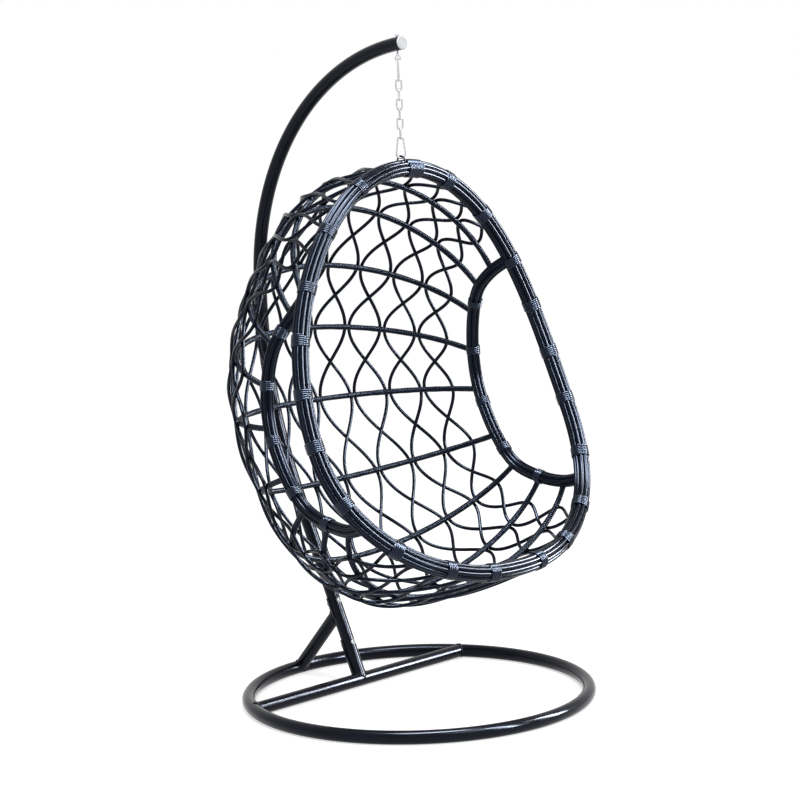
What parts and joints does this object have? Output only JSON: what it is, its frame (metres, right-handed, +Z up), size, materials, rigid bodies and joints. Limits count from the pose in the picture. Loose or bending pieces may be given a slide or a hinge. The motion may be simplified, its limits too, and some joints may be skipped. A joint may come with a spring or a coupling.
{
  "type": "hanging egg chair",
  "caption": "Open woven egg-shaped basket seat hung by a short chain from a bent tubular pole on a round floor ring.",
  "frame": {"origin": "on the ground, under the middle of the whole chair's length and width", "axes": "+Z up, the basket opens towards -Y, the pole stands behind it at +Y, +X to the sitter's left"},
  "size_m": [1.0582, 1.1044, 1.8647],
  "materials": {
    "coated_steel": "gloss black-blue powder coat",
    "zinc_steel": "bright zinc plate",
    "end_cap": "satin silver-grey plastic",
    "wicker": "glossy black-blue round synthetic rattan"
  },
  "bodies": {
    "stand": {"base_ring": "coated_steel", "cross_bar": "coated_steel", "curved_pole": "coated_steel", "foot_saddle": "coated_steel", "brace_saddle": "coated_steel", "rear_brace": "coated_steel", "foot_bolt": "zinc_steel", "foot_nut": "zinc_steel", "brace_bolt": "zinc_steel", "brace_nut": "zinc_steel", "pole_end_cap": "end_cap"},
    "eye": {"eye_bolt": "zinc_steel", "eye_nut": "zinc_steel"},
    "upper_hook": {"upper_hook": "zinc_steel"},
    "upper_gate": {"upper_hook_gate": "zinc_steel"},
    "chain_link_1": {"chain_link_1": "zinc_steel"},
    "chain_link_2": {"chain_link_2": "zinc_steel"},
    "chain_link_3": {"chain_link_3": "zinc_steel"},
    "chain_link_4": {"chain_link_4": "zinc_steel"},
    "chain_link_5": {"chain_link_5": "zinc_steel"},
    "chain_link_6": {"chain_link_6": "zinc_steel"},
    "lower_hook": {"lower_hook": "zinc_steel"},
    "lower_gate": {"lower_hook_gate": "zinc_steel"},
    "basket": {"hanging_arch": "coated_steel", "top_binding": "wicker", "front_rim": "wicker", "side_loop_right": "wicker", "side_loop_left": "wicker", "rib_1": "wicker", "rib_2": "wicker", "rib_3": "wicker", "rib_4": "wicker", "rib_5": "wicker", "rib_6": "wicker", "rib_7": "wicker", "rib_8": "wicker", "rib_9": "wicker", "strand_1_over": "wicker", "strand_1_under": "wicker", "strand_2_over": "wicker", "strand_2_under": "wicker", "strand_3_over": "wicker", "strand_3_under": "wicker", "strand_4_over": "wicker", "strand_4_under": "wicker", "strand_5_over": "wicker", "strand_5_under": "wicker", "strand_6_over": "wicker", "strand_6_under": "wicker", "strand_7_over": "wicker", "strand_7_under": "wicker", "strand_8_over": "wicker", "strand_8_under": "wicker", "strand_9_over": "wicker", "strand_9_under": "wicker", "strand_10_over": "wicker", "strand_10_under": "wicker"}
  },
  "joints": [
    {"name": "eye_swivel", "type": "hinge", "parent": "stand", "child": "eye", "pos_m": [0, -0.05339, 1.79545], "axis": [0, 0, 1], "range_deg": [-60, 60]},
    {"name": "upper_hook_swing", "type": "hinge", "parent": "eye", "child": "upper_hook", "pos_m": [0, -0.05339, 1.79065], "axis": [0.7431, -0.6691, 0], "range_deg": [-3, 0.3]},
    {"name": "upper_gate_open", "type": "hinge", "parent": "upper_hook", "child": "upper_gate", "pos_m": [0.00739, -0.04519, 1.76027], "axis": [0.7431, -0.6691, 0], "range_deg": [0, 25], "stiffness_Nm_per_rad": 0.02, "springref_deg": -17.19},
    {"name": "chain_link_1_swing", "type": "hinge", "parent": "upper_hook", "child": "chain_link_1", "pos_m": [0, -0.05339, 1.73545], "axis": [0.6691, 0.7431, 0], "range_deg": [-3, 0.3]},
    {"name": "chain_link_2_swing", "type": "hinge", "parent": "chain_link_1", "child": "chain_link_2", "pos_m": [0, -0.05339, 1.70925], "axis": [0.7431, -0.6691, 0], "range_deg": [-3, 0.3]},
    {"name": "chain_link_3_swing", "type": "hinge", "parent": "chain_link_2", "child": "chain_link_3", "pos_m": [0, -0.05339, 1.68305], "axis": [0.6691, 0.7431, 0], "range_deg": [-3, 0.3]},
    {"name": "chain_link_4_swing", "type": "hinge", "parent": "chain_link_3", "child": "chain_link_4", "pos_m": [0, -0.05339, 1.65685], "axis": [0.7431, -0.6691, 0], "range_deg": [-3, 0.3]},
    {"name": "chain_link_5_swing", "type": "hinge", "parent": "chain_link_4", "child": "chain_link_5", "pos_m": [0, -0.05339, 1.63065], "axis": [0.6691, 0.7431, 0], "range_deg": [-3, 0.3]},
    {"name": "chain_link_6_swing", "type": "hinge", "parent": "chain_link_5", "child": "chain_link_6", "pos_m": [0, -0.05339, 1.60445], "axis": [0.7431, -0.6691, 0], "range_deg": [-3, 0.3]},
    {"name": "lower_hook_swing", "type": "hinge", "parent": "chain_link_6", "child": "lower_hook", "pos_m": [0, -0.05339, 1.57825], "axis": [0.6691, 0.7431, 0], "range_deg": [-3, 0.3]},
    {"name": "lower_gate_open", "type": "hinge", "parent": "lower_hook", "child": "lower_gate", "pos_m": [0.00825, -0.06082, 1.54944], "axis": [-0.6691, -0.7431, 0], "range_deg": [0, 25], "stiffness_Nm_per_rad": 0.02, "springref_deg": -17.19},
    {"name": "basket_swing", "type": "hinge", "parent": "lower_hook", "child": "basket", "pos_m": [0, -0.05339, 1.52555], "axis": [0.7431, -0.6691, 0], "range_deg": [-3, 0.3]}
  ]
}
